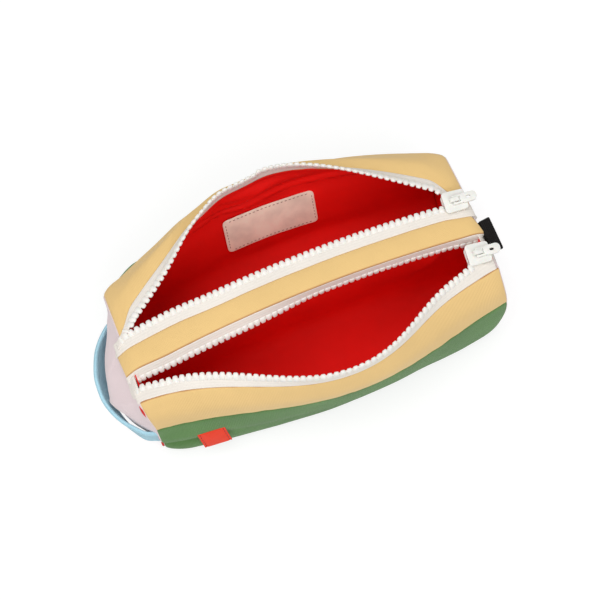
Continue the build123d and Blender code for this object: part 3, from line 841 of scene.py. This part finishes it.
def end_loop(side):
    """The places round the case at one end, where its panels meet the end panel."""
    steps = 14
    run = [front_wall_place(side, k / steps) for k in range(steps + 1)]
    run += [front_band_place(side, k / steps) for k in range(1, steps + 1)]
    x = side * HALF
    front, back = front_edge(x), back_edge(x)
    top = TOP - 3.0 - end_droop(x)
    for k in range(1, 12):
        t = k / 12
        z = front[1] - 1.5 + (top - front[1]) * sin(pi * t)
        run.append((reach_out(x, 70, 1.6 - 2.4 * t), between(front, back, t)[0], z))
    run += [back_band_place(side, 1 - k / steps) for k in range(steps + 1)]
    run += [back_wall_place(side, 1 - k / steps) for k in range(1, steps + 1)]
    first, last = run[0], run[-1]
    for k in range(1, 10):
        t = k / 10
        run.append((reach_out(x, 0, -0.8 - 2.3 * t), between(last, first, t)[1], 0.15))
    return run


class CASE_OT_ends(CaseOperator, bpy.types.Operator):
    """Build the bulging end panels and the piping tucked in round them"""

    bl_idname = "case.ends"
    bl_label = "End panels and piping"

    def build(self, look, finish):
        for name, side, bulge, centre in (
            ("left", -1, look.bulge_left / MM, (-11.0, 27.0)),
            ("right", 1, look.bulge_right / MM, (-3.0, 32.0)),
        ):
            loop = end_loop(side)

            def shape(x, y, z, v):
                rise = bulge * (1 - ramp(v, 0.4, 1.02))
                # The left panel lies flatter low down and at the back, and stays under the loop
                if side < 0:
                    full = (1 - 0.45 * ramp(24 - z, 0, 14)) * (1 - 0.15 * ramp(z - 34, 0, 16))
                    rise *= full * (1 - 0.5 * ramp(y, -10, 24))
                    room = max(loop_reach(y) - HALF - STRAP_ROOM, 0.2)
                    rise *= room / (rise**8 + room**8) ** 0.125
                rise += 3.6 * ripple(y * v, z * v, 31.0, 26) * (1 - v) * v * v
                return x + side * (0.3 + rise), y, z

            bm = disc_grid(loop, 22, centre, shape)
            face_towards(bm, Vector((side, 0, 0)))
            canvas = finish["pink cotton canvas"]
            piece = add_piece(f"{name}_end_canvas", bm, canvas, [f"{name}_end_panel"])
            thicken(piece, look.canvas)
            bm = closed_tube([self.cord_place(place, side, centre) for place in loop], 0.8)
            binding = finish["red cotton binding"]
            piece = add_piece(f"{name}_piping_cord", bm, binding, [f"{name}_piping"])
            smooth = piece.modifiers.new("Round", "SUBSURF")
            smooth.levels = smooth.render_levels = 1

    def cord_place(self, place, side, centre):
        """The piping's place: proud at the left front, and elsewhere tucked under the bands."""
        x, y, z = place
        shows = ramp(-y, 22, 34) * max(hump(z, 64, 7), hump(z, 8, 9), 0.5) if side < 0 else 0.0
        away = hypot(y - centre[0], z - centre[1])
        pull = (away - (2.7 - 2.0 * shows + 3.0 * ramp(z, 60, 68) * ramp(y, -34, -28))) / away
        y, z = centre[0] + (y - centre[0]) * pull, centre[1] + (z - centre[1]) * pull
        return point(x + side * (1.5 * shows - 0.9), y, max(z, 0.9))


class CASE_OT_linings(CaseOperator, bpy.types.Operator):
    """Build the two lining bags and their ends"""

    bl_idname = "case.linings"
    bl_label = "Linings"

    def build(self, look, finish):
        cloth = finish["red polyester lining"]
        for name, place, size, nodes, flip in (
            ("front_bag", front_bag_place, (203, 190), ["front_lining", "base_lining", "divider"], False),
            ("back_bag", back_bag_place, (203, 210), ["back_lining"], True),
        ):
            bm = cloth_grid(120, 150, place, size, flip)
            thicken(add_piece(f"{name}_lining", bm, cloth, nodes), look.lining_cloth, levels=0)
            for side, end in ((-1, "left"), (1, "right")):
                nodes = [f"{end}_end_lining"] if name == "front_bag" else []
                bm = self.bag_end(place, side, name)
                thicken(add_piece(f"{name}_{end}_end", bm, cloth, nodes), look.lining_cloth)

    def bag_end(self, place, side, name):
        """The bag's end, hanging a little slack; at the right it puffs up between the rows."""
        count = 64
        loop = [place(side, k / count) for k in range(count + 1)]
        first, last = loop[0], loop[-1]
        loop += [between(last, first, k / 8) for k in range(1, 8)]
        middle = (sum(p[1] for p in loop) / len(loop), 36.0)

        def shape(x, y, z, v):
            sag = 2.0 * (1 - v**2) + 1.6 * ripple(y, z, 41.0 + side, 18) * v * (1 - v) * 4
            if side > 0 and name == "back_bag":
                sag += 8 * hump(y, 13.5, 8.5) * hump(z, 61, 8) * ramp(1 - v, 0.0, 0.25)
            if side > 0 and name == "front_bag":
                sag += 7 * hump(y, -13, 6) * hump(z, 60, 6) * ramp(1 - v, 0, 0.2)
                sag -= 1.5 * hump(y, -24, 5)
            return x - side * sag, y, z

        bm = disc_grid(loop, 26, middle, shape)
        face_towards(bm, Vector((-side, 0, 0)))
        return bm


# How far a tooth's middle, and the tape's edge in it, stand past the tape that shows, in mm
TOOTH_REACH = 1.2
TAPE_REACH = 2.7


def tooth_shape():
    """One moulded tooth: a block astride the tape with a narrower rounded head, as a mesh."""
    bm = bmesh.new()
    bmesh.ops.create_cube(bm, size=1, matrix=Matrix.Diagonal((2.6 * MM, 3.1 * MM, 2.0 * MM, 1)))
    bm.normal_update()
    front = [f for f in bm.faces if f.normal.x > 0.9]
    grown = bmesh.ops.extrude_face_region(bm, geom=front)
    tip = [v for v in grown["geom"] if isinstance(v, bmesh.types.BMVert)]
    bmesh.ops.delete(bm, geom=front, context="FACES")
    bmesh.ops.translate(bm, verts=tip, vec=(1.6 * MM, 0, 0))
    bmesh.ops.scale(bm, verts=tip, vec=(1, 0.68, 0.7))
    round_edges(bm, bm.edges[:], 0.4, segments=1)
    mesh = bpy.data.meshes.new("tooth")
    bm.to_mesh(mesh)
    bm.free()
    return mesh


class CASE_OT_zips(CaseOperator, bpy.types.Operator):
    """Build the zip tapes, their rows of teeth and the end stops"""

    bl_idname = "case.zips"
    bl_label = "Zip tapes and teeth"

    def build(self, look, finish):
        tooth = tooth_shape()
        for row in ROWS:
            self.tape(row, finish["white zip tape"])
            self.teeth(row, tooth, look.pitch / MM, finish["white acetal teeth"])
        bpy.data.meshes.remove(tooth)
        self.stops(finish["white acetal teeth"])
        self.tape_ends(finish["white zip tape"])

    def tape(self, row, cloth):
        low, high = row.ends

        def place(u, v):
            x = low + (u + 1) / 2 * (high - low)
            wave = 0.3 * ripple(x, 0, 51.0, 12) * v
            return tuple(row.at(x, v * (row.shown(x) + TAPE_REACH), wave))

        bm = cloth_grid(130, 6, place, (206, 7))
        bmesh.ops.recalc_face_normals(bm, faces=bm.faces)
        piece = add_piece(f"{row.name}_tape_cloth", bm, cloth, [f"{row.name}_tape"])
        thicken(piece, 1.2 * MM, offset=0)

    def spot(self, row, x):
        """The turn that sets a tooth on the tape's edge, square to the row, and the row's run."""
        reach = row.shown(x) + TOOTH_REACH
        here, ahead, root = row.at(x, reach), row.at(x + 0.5, reach), row.at(x, reach - 1)
        run = (ahead - here).normalized()
        out = (here - root).normalized()
        out = (out - run * out.dot(run)).normalized()
        return Matrix.Translation(point(*here)) @ axes(out, run, out.cross(run)), run

    def teeth(self, row, tooth, pitch, plastic):
        bm = bmesh.new()
        x = row.tooth_ends[0]
        while x < row.tooth_ends[1]:
            turn, run = self.spot(row, x)
            before = len(bm.verts)
            bm.from_mesh(tooth)
            bm.verts.ensure_lookup_table()
            bmesh.ops.transform(bm, matrix=turn, verts=bm.verts[before:])
            x += pitch * max(run.x, 0.3)
        add_piece(f"{row.name}_teeth_row", bm, plastic, [f"{row.name}_teeth"])

    def stops(self, plastic):
        bm = bmesh.new()
        for row in ROWS:
            turn, run = self.spot(row, row.tooth_ends[0] - 2.8)
            size = Matrix.Diagonal((4.2 * MM, 1.8 * MM, 2.6 * MM, 1))
            made = bmesh.ops.create_cube(bm, size=1, matrix=turn @ size)
            round_edges(bm, list({e for v in made["verts"] for e in v.link_edges}), 0.5)
        add_piece("zip_end_stops", bm, plastic, ["end_stops"])

    def tape_ends(self, cloth):
        """The four places where a zip's two tapes meet and turn down over an end."""
        for name, inner, outer, start, stop, bulge in (
            ("back_left", ROWS[0], ROWS[3], -99.5, -106.4, 2.0),
            ("back_right", ROWS[0], ROWS[3], 100.5, 105.0, 1.6),
            ("front_left", ROWS[1], ROWS[2], -102.8, -105.8, 1.8),
            ("front_right", ROWS[1], ROWS[2], 101.0, 105.0, 1.2),
        ):
            side = 1 if stop > 0 else -1

            def place(u, v):
                t = (u + 1) / 2
                x = start + (stop - start) * t + side * bulge * sin(pi * v) * t
                y, z = between(inner.root(x), outer.root(x), v)
                return x, y, z - 0.5 - 4.5 * t * t + 0.5 * sin(pi * v)

            bm = cloth_grid(14, 16, place, (7, 14))
            face_towards(bm, Vector((0, 0, 1)))
            thicken(add_piece(f"{name}_tape_end", bm, cloth), 0.9 * MM)


class CASE_OT_sliders(CaseOperator, bpy.types.Operator):
    """Build the sliders and pullers with moulded edges"""

    bl_idname = "case.sliders"
    bl_label = "Sliders and pullers"

    def build(self, look, finish):
        for node in ("front_slider", "back_slider", "front_puller", "back_puller"):
            bm = bmesh.new()
            bm.from_mesh(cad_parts[node].data)
            bmesh.ops.remove_doubles(bm, verts=bm.verts, dist=1e-6)
            bmesh.ops.dissolve_limit(bm, angle_limit=radians(2), verts=bm.verts, edges=bm.edges)
            sharp = [e for e in bm.edges if len(e.link_faces) == 2 and e.calc_face_angle(0) > radians(35)]
            round_edges(bm, sharp, 0.22, clamp=True)
            add_piece(f"{node}_moulding", bm, finish["white acetal slider"], [node], node)


def strap_place(u, v):
    """The loop, from its back end to its front end, u along and v up its width."""
    turn = 1.0 + u * STRAP_TURN
    a = radians(180 + turn)
    flare = radians(17 * (1 - ramp(turn, 6, 50)) - 8 * ramp(-turn, 20, 56))
    up = (v - 0.5) * STRAP_WIDTH
    r = STRAP_RADIUS + up * sin(flare) + 0.6 * ripple(turn, 0, 61.0, 14)
    x = STRAP_MIDDLE[0] + r * cos(a) + 1.2 * ramp(-turn, 48, 56)
    y = STRAP_MIDDLE[1] + r * sin(a) + 2.5 * ramp(turn, 44, 59)
    return x, y, STRAP_Z + up * cos(flare) + 0.7 * ripple(turn, 3, 63.0, 25)


class CASE_OT_loop(CaseOperator, bpy.types.Operator):
    """Build the webbing loop across the left end"""

    bl_idname = "case.loop"
    bl_label = "Webbing loop"

    def build(self, look, finish):
        bm = cloth_grid(80, 8, strap_place, (112, STRAP_WIDTH), True)
        face_towards(bm, Vector((-1, 0, 0)))
        webbing = finish["blue cotton webbing"]
        piece = add_piece("webbing_loop", bm, webbing, ["handle_strap", "strap_ends"], None)
        thicken(piece, look.strap, offset=0)
        for modifier in list(piece.modifiers):
            with bpy.context.temp_override(object=piece, active_object=piece):
                bpy.ops.object.modifier_apply(modifier=modifier.name)
        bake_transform(piece)


class CASE_OT_tab(CaseOperator, bpy.types.Operator):
    """Build the folded black webbing tab at the right end"""

    bl_idname = "case.tab"
    bl_label = "End tab"

    def build(self, look, finish):
        droop, flat, half = radians(24), 7.2, 0.8
        leg, fold = 0.44, 0.12

        def place(u, v):
            along = (u + 1) / 2
            if along < leg:
                out, up = flat * along / leg, half
            elif along > leg + fold:
                out, up = flat * (1 - along) / leg, -half
            else:
                swing = (along - leg) / fold * pi
                out, up = flat + half * sin(swing), half * cos(swing)
            across = (v - 0.5) * (18.0 + 0.25 * out)
            return (
                104.2 + out * cos(droop) + up * sin(droop),
                -12.0 + across + 0.1 * out,
                67.2 - out * sin(droop) + up * cos(droop),
            )

        bm = cloth_grid(50, 12, place, (15, 18))
        face_towards(bm, Vector((1, 0, 0.2)))
        piece = add_piece("end_tab_webbing", bm, finish["black nylon webbing"], ["end_tab"])
        thicken(piece, 1.1 * MM, offset=0)


class CASE_OT_tag(CaseOperator, bpy.types.Operator):
    """Build the folded red tag sewn to the front wall"""

    bl_idname = "case.tag"
    bl_label = "Side tag"

    def build(self, look, finish):
        spot, half, tall = Vector((-72.6, -51.9, 22.0)), 8.1, 15.4
        hem = 0.84
        lean = radians(17)
        rise = Vector((0, sin(lean), cos(lean)))
        run, rise = swung(Vector((1, -0.15, 0)).normalized(), rise, radians(8))
        out = run.cross(rise).normalized()

        def place(u, v):
            belly = 0.5 * (1 - u * u) * sin(pi * v) - 0.3 * hump(abs(u), hem, 0.05)
            return tuple(spot + run * u * half + rise * (v - 0.5) * tall + out * belly)

        bm = cloth_grid(44, 18, place, (16, 16))
        face_towards(bm, out)
        thicken(add_piece("side_tag_satin", bm, finish["red satin tag"], ["side_tag"]), 0.9 * MM)
        places = []
        for edge in (-1, 1):
            for k in range(6):
                at = Vector(place(edge * hem, 0.1 + 0.16 * k))
                places.append((point(*(at + out * 0.1)), rise, out))
        bm = stitches(places, 1.8, 0.5)
        add_piece("side_tag_stitches", bm, finish["dark red thread"])


class CASE_OT_patch(CaseOperator, bpy.types.Operator):
    """Build the blank leather name patch and its stitching"""

    bl_idname = "case.patch"
    bl_label = "Name patch"

    def build(self, look, finish):
        run = back_bag_run(PATCH_X)
        low, high = Vector((0, *run[WALL_LOW])), Vector((0, *run[WALL_HIGH]))
        rise = (high - low).normalized()
        out = Vector((0, -rise.z, rise.y))
        along, rise = swung(Vector((1, 0, 0)), rise, radians(-2.5))
        middle = low + (high - low) * (PATCH_Z - low.z) / (high.z - low.z) + out * 1.9
        middle.x = PATCH_X
        corner, inset = 3.0, 1.6

        def surface(dx, dz, lift=0.0):
            fall = 0.5 * (dx / PATCH_HALF) ** 2 + 1.3 * ramp(-dx, 0, PATCH_HALF)
            fall -= 0.25 * ripple(dx, dz, 71.0, 14)
            return middle + along * dx + rise * dz + Vector((0, -fall, 0)) + out * lift

        bm = bmesh.new()
        uv = bm.loops.layers.uv.new("Cloth")
        bmesh.ops.create_grid(bm, x_segments=60, y_segments=26, size=1)
        fill_uvs(bm, uv, (2 * PATCH_HALF, 2 * PATCH_TALL))
        for vert in bm.verts:
            dx, dz = vert.co.x * PATCH_HALF, vert.co.y * PATCH_TALL
            over = (max(abs(dx) - (PATCH_HALF - corner), 0), max(abs(dz) - (PATCH_TALL - corner), 0))
            if over[0] and over[1]:
                shrink = max(over) / hypot(*over)
                dx = (PATCH_HALF - corner + over[0] * shrink) * (1 if dx > 0 else -1)
                dz = (PATCH_TALL - corner + over[1] * shrink) * (1 if dz > 0 else -1)
            vert.co = point(*surface(dx, dz))
        face_towards(bm, out)
        hide = finish["pale coated leather"]
        thicken(add_piece("name_patch_leather", bm, hide, ["name_patch"]), 0.9 * MM)
        places = []
        for edge in (-1, 1):
            for k in range(20):
                dx = (2 * PATCH_HALF - 7) * ((k + 0.5) / 20 - 0.5)
                places.append((point(*surface(dx, edge * (PATCH_TALL - inset), 0.1)), along, out))
            for k in range(8):
                dz = (2 * PATCH_TALL - 6) * ((k + 0.5) / 8 - 0.5)
                places.append((point(*surface(edge * (PATCH_HALF - inset), dz, 0.1)), rise, out))
        bm = stitches(places, 1.7, 0.45)
        add_piece("name_patch_stitches", bm, finish["brown thread"])


class CASE_OT_stage(bpy.types.Operator):
    """Build the floor, the lamps and the camera at the photograph's angle"""

    bl_idname = "case.stage"
    bl_label = "Stage"

    def execute(self, context):
        self.floor()
        world = bpy.data.worlds.new("Studio")
        world.use_nodes = True
        sky = world.node_tree.nodes["Background"]
        sky.inputs["Color"].default_value = (1, 1, 1, 1)
        sky.inputs["Strength"].default_value = 0.48
        context.scene.world = world
        for name, place, size, power in (
            ("Key", (-0.3, 0.1, 1.2), 0.8, 5.6),
            ("Fill", (0.0, -0.8, 1.0), 0.9, 5.4),
        ):
            lamp = bpy.data.lights.new(name, "AREA")
            lamp.shape, lamp.size, lamp.energy = "DISK", size, power
            item = bpy.data.objects.new(name, lamp)
            item.location = place
            item.rotation_euler = (Vector((0, 0, 0.03)) - Vector(place)).to_track_quat("-Z", "Y").to_euler()
            context.scene.collection.objects.link(item)
        self.camera()
        context.scene.view_settings.view_transform = "Standard"
        return {"FINISHED"}

    def floor(self):
        """White paper: the camera sees it near white, with the case's soft shadow kept."""
        bm = bmesh.new()
        bmesh.ops.create_grid(bm, x_segments=1, y_segments=1, size=4)
        material = blank("white paper")
        seen = add(material, "LightPath").outputs["Is Camera Ray"]
        paper, seen_paper = (0.86, 0.86, 0.86, 1), (0.34, 0.34, 0.34, 1)
        base = add(material, "Mix", {6: paper, 7: seen_paper}, {0: seen}, data_type="RGBA")
        glow = add(material, "Math", {1: 0.72}, {0: seen}, operation="MULTIPLY")
        values = {"Roughness": 0.9, "Specular IOR Level": 0.1, "Emission Color": (1, 1, 1, 1)}
        shade(material, values, {"Base Color": base.outputs[2], "Emission Strength": glow.outputs[0]})
        item = add_object("floor", bm, material)

    def camera(self):
        azimuth, elevation, distance = radians(-21.9), radians(72.0), 900.0
        back = Vector((sin(azimuth) * cos(elevation), -cos(azimuth) * cos(elevation), sin(elevation)))
        right = Vector((cos(azimuth), sin(azimuth), 0))
        up = back.cross(right)
        aim = Vector((0, 0, 36)) - right * 0.565 + up * 1.13
        data = bpy.data.cameras.new("Camera")
        data.lens, data.sensor_width = 95.6, 36.0
        item = bpy.data.objects.new("Camera", data)
        item.matrix_world = Matrix.Translation(point(*(aim + back * distance))) @ axes(right, up, back)
        bpy.context.scene.collection.objects.link(item)
        bpy.context.scene.camera = item


STEPS = (
    CASE_OT_walls,
    CASE_OT_bands,
    CASE_OT_ends,
    CASE_OT_linings,
    CASE_OT_zips,
    CASE_OT_sliders,
    CASE_OT_loop,
    CASE_OT_tab,
    CASE_OT_tag,
    CASE_OT_patch,
    CASE_OT_stage,
)


class CASE_PT_panel(bpy.types.Panel):
    """Lists the case's sizes, colours and pieces in the order they are built"""

    bl_idname = "CASE_PT_panel"
    bl_label = "Pencil case"
    bl_space_type = "VIEW_3D"
    bl_region_type = "UI"
    bl_category = "Pencil case"

    def draw(self, context):
        for key in CaseLook.__annotations__:
            self.layout.prop(context.scene.case_look, key)
        for step in STEPS:
            self.layout.operator(step.bl_idname)


def register():
    bpy.utils.register_class(CaseLook)
    bpy.types.Scene.case_look = PointerProperty(type=CaseLook)
    for step in STEPS:
        bpy.utils.register_class(step)
    bpy.utils.register_class(CASE_PT_panel)


def unregister():
    bpy.utils.unregister_class(CASE_PT_panel)
    for step in reversed(STEPS):
        bpy.utils.unregister_class(step)
    del bpy.types.Scene.case_look
    bpy.utils.unregister_class(CaseLook)


def main():
    register()
    for step in STEPS:
        group, name = step.bl_idname.split(".")
        getattr(getattr(bpy.ops, group), name)()
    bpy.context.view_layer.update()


if __name__ == "__main__":
    main()
